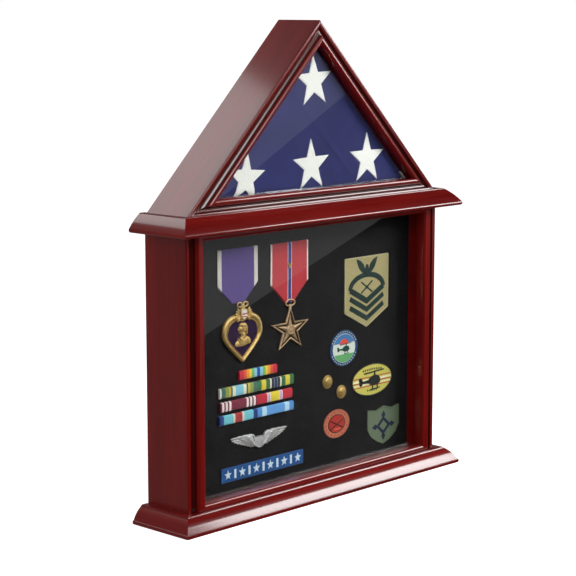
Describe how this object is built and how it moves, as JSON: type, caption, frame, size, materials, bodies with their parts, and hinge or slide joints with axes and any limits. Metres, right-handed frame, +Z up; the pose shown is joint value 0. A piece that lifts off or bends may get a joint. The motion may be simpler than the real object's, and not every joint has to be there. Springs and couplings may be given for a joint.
{
  "type": "folded flag display case",
  "caption": "Gabled wooden case with a glazed triangular bay for a folded flag above a glazed shadow box of medals and patches; both open at the back.",
  "frame": {"origin": "on the ground, under the middle of the bounding box", "axes": "+Z up; the glazed front faces -Y; +X to the right of a person looking at the front"},
  "size_m": [0.4226, 0.0842, 0.4999],
  "materials": {
    "mahogany": "high-gloss red-brown lacquer",
    "clear_glass": "clear float glass",
    "black_felt": "short napped felt",
    "foam": "soft packing foam",
    "back_board": "dark stained hardboard",
    "flag_cloth": "woven cotton bunting with embroidered white stars",
    "plated_steel": "bright zinc plate",
    "gilt": "gilt, lightly worn",
    "bronze": "dark struck bronze",
    "silver": "oxidised silver",
    "ribbon_silk": "ribbed silk ribbon in several colours",
    "embroidery": "embroidered twill in several colours"
  },
  "bodies": {
    "case": {"gable_left_moulding": "mahogany", "gable_right_moulding": "mahogany", "gable_bottom_moulding": "mahogany", "box_left_moulding": "mahogany", "box_right_moulding": "mahogany", "box_top_moulding": "mahogany", "box_bottom_moulding": "mahogany", "base_front_moulding": "mahogany", "base_left_moulding": "mahogany", "base_right_moulding": "mahogany", "cornice_front_moulding": "mahogany", "cornice_left_moulding": "mahogany", "cornice_right_moulding": "mahogany", "spacer_left": "mahogany", "spacer_right": "mahogany", "spacer_top": "mahogany", "spacer_bottom": "mahogany", "gable_stop_left": "mahogany", "gable_stop_right": "mahogany", "gable_stop_bottom": "mahogany", "gable_glass": "clear_glass", "display_glass": "clear_glass", "box_button_lower_left_screw": "plated_steel", "box_button_lower_right_screw": "plated_steel", "box_button_upper_left_screw": "plated_steel", "box_button_upper_right_screw": "plated_steel", "gable_button_left_screw": "plated_steel", "gable_button_right_screw": "plated_steel", "gable_button_bottom_screw": "plated_steel", "join_screw_left": "plated_steel", "join_screw_right": "plated_steel"},
    "display_insert": {"display_board": "black_felt", "foam_filler": "foam", "display_back_panel": "back_board", "heart_medal": "gilt", "heart_ribbon": "ribbon_silk", "star_medal": "bronze", "star_ribbon": "ribbon_silk", "ribbon_bar_1": "ribbon_silk", "ribbon_bar_2": "ribbon_silk", "ribbon_bar_3": "ribbon_silk", "ribbon_bar_4": "ribbon_silk", "wings_badge": "silver", "name_tape": "embroidery", "rank_patch": "embroidery", "round_patch": "embroidery", "oval_patch": "embroidery", "red_patch": "embroidery", "shield_patch": "embroidery", "button_pin_1": "gilt", "button_pin_2": "gilt"},
    "flag_insert": {"folded_flag": "flag_cloth", "flag_back_panel": "back_board"},
    "box_button_lower_left": {"box_button_lower_left": "plated_steel"},
    "box_button_lower_right": {"box_button_lower_right": "plated_steel"},
    "box_button_upper_left": {"box_button_upper_left": "plated_steel"},
    "box_button_upper_right": {"box_button_upper_right": "plated_steel"},
    "gable_button_left": {"gable_button_left": "plated_steel"},
    "gable_button_right": {"gable_button_right": "plated_steel"},
    "gable_button_bottom": {"gable_button_bottom": "plated_steel"}
  },
  "joints": [
    {"name": "display_insert_slide", "type": "slide", "parent": "case", "child": "display_insert", "axis": [0, 1, 0], "range_m": [0, 0.1]},
    {"name": "flag_insert_slide", "type": "slide", "parent": "case", "child": "flag_insert", "axis": [0, 1, 0], "range_m": [0, 0.1]},
    {"name": "box_button_lower_left_turn", "type": "hinge", "parent": "case", "child": "box_button_lower_left", "pos_m": [-0.1836, 0.0396, 0.09], "axis": [0, -1, 0], "range_deg": [0, 90]},
    {"name": "box_button_lower_right_turn", "type": "hinge", "parent": "case", "child": "box_button_lower_right", "pos_m": [0.1836, 0.0396, 0.09], "axis": [0, 1, 0], "range_deg": [0, 90]},
    {"name": "box_button_upper_left_turn", "type": "hinge", "parent": "case", "child": "box_button_upper_left", "pos_m": [-0.1836, 0.0396, 0.23], "axis": [0, -1, 0], "range_deg": [0, 90]},
    {"name": "box_button_upper_right_turn", "type": "hinge", "parent": "case", "child": "box_button_upper_right", "pos_m": [0.1836, 0.0396, 0.23], "axis": [0, 1, 0], "range_deg": [0, 90]},
    {"name": "gable_button_left_turn", "type": "hinge", "parent": "case", "child": "gable_button_left", "pos_m": [-0.09047, 0.0396, 0.40048], "axis": [0, -1, 0], "range_deg": [0, 90]},
    {"name": "gable_button_right_turn", "type": "hinge", "parent": "case", "child": "gable_button_right", "pos_m": [0.09047, 0.0396, 0.40048], "axis": [0, 1, 0], "range_deg": [0, 90]},
    {"name": "gable_button_bottom_turn", "type": "hinge", "parent": "case", "child": "gable_button_bottom", "pos_m": [0, 0.0396, 0.3164], "axis": [0, -1, 0], "range_deg": [0, 90]}
  ]
}
